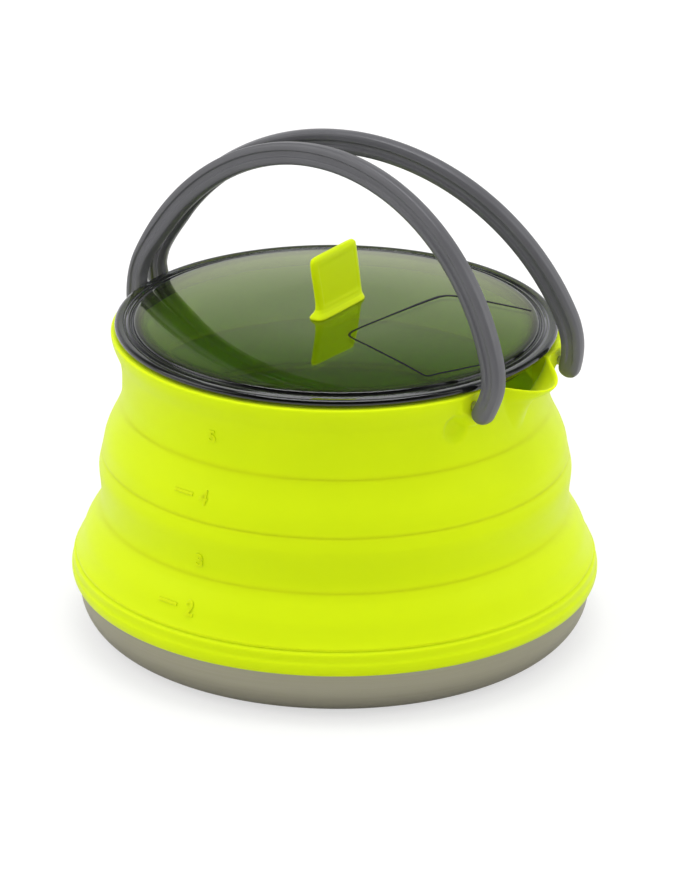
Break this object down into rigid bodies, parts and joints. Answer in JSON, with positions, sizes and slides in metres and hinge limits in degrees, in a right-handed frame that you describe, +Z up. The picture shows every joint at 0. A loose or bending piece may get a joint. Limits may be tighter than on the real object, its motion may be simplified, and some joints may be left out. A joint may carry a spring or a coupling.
{
  "type": "collapsible kettle",
  "caption": "Collapsible camping kettle with an aluminium base pan, a folding silicone wall with a pouring spout, folding bail handles and a clear lid with a pull tab.",
  "frame": {"origin": "centre of the pan's flat underside", "axes": "+Z up through the lid's pull tab, +X out through the spout, -Y towards the front bail"},
  "size_m": [0.1532, 0.1532, 0.1452],
  "materials": {
    "anodised_aluminium": "hard anodised, satin",
    "silicone": "matt lime silicone",
    "ring_nylon": "matt black",
    "pin_steel": "plain stainless",
    "bail_nylon": "satin dark grey",
    "clear_plastic": "smoky clear, polished"
  },
  "bodies": {
    "base": {"base_pan": "anodised_aluminium", "wall_skirt": "silicone", "lower_fold_web": "silicone"},
    "middle": {"middle_band": "silicone", "upper_fold_web": "silicone"},
    "upper": {"upper_band": "silicone", "rim_ring": "ring_nylon", "front_bail_spout_pin": "pin_steel", "front_bail_back_pin": "pin_steel", "rear_bail_spout_pin": "pin_steel", "rear_bail_back_pin": "pin_steel"},
    "front_bail": {"front_bail": "bail_nylon"},
    "rear_bail": {"rear_bail": "bail_nylon"},
    "lid": {"lid_disc": "clear_plastic", "pull_tab": "silicone"}
  },
  "joints": [
    {"name": "lower_fold", "type": "slide", "parent": "base", "child": "middle", "axis": [0, 0, 1], "range_m": [-0.027, 0], "deforming": ["lower_fold_web"]},
    {"name": "upper_fold", "type": "slide", "parent": "middle", "child": "upper", "axis": [0, 0, 1], "range_m": [-0.027, 0], "deforming": ["upper_fold_web"]},
    {"name": "front_bail_fold", "type": "hinge", "parent": "upper", "child": "front_bail", "pos_m": [-0.00085, -0.01391, 0.0857], "axis": [0.9924, -0.1228, 0], "range_deg": [-1.5, 98.6]},
    {"name": "rear_bail_fold", "type": "hinge", "parent": "upper", "child": "rear_bail", "pos_m": [-0.00085, 0.01391, 0.0857], "axis": [-0.9924, -0.1228, 0], "range_deg": [-1.5, 94.9]},
    {"name": "lid_lift", "type": "slide", "parent": "upper", "child": "lid", "axis": [0, 0, 1], "range_m": [0, 0.004]}
  ]
}
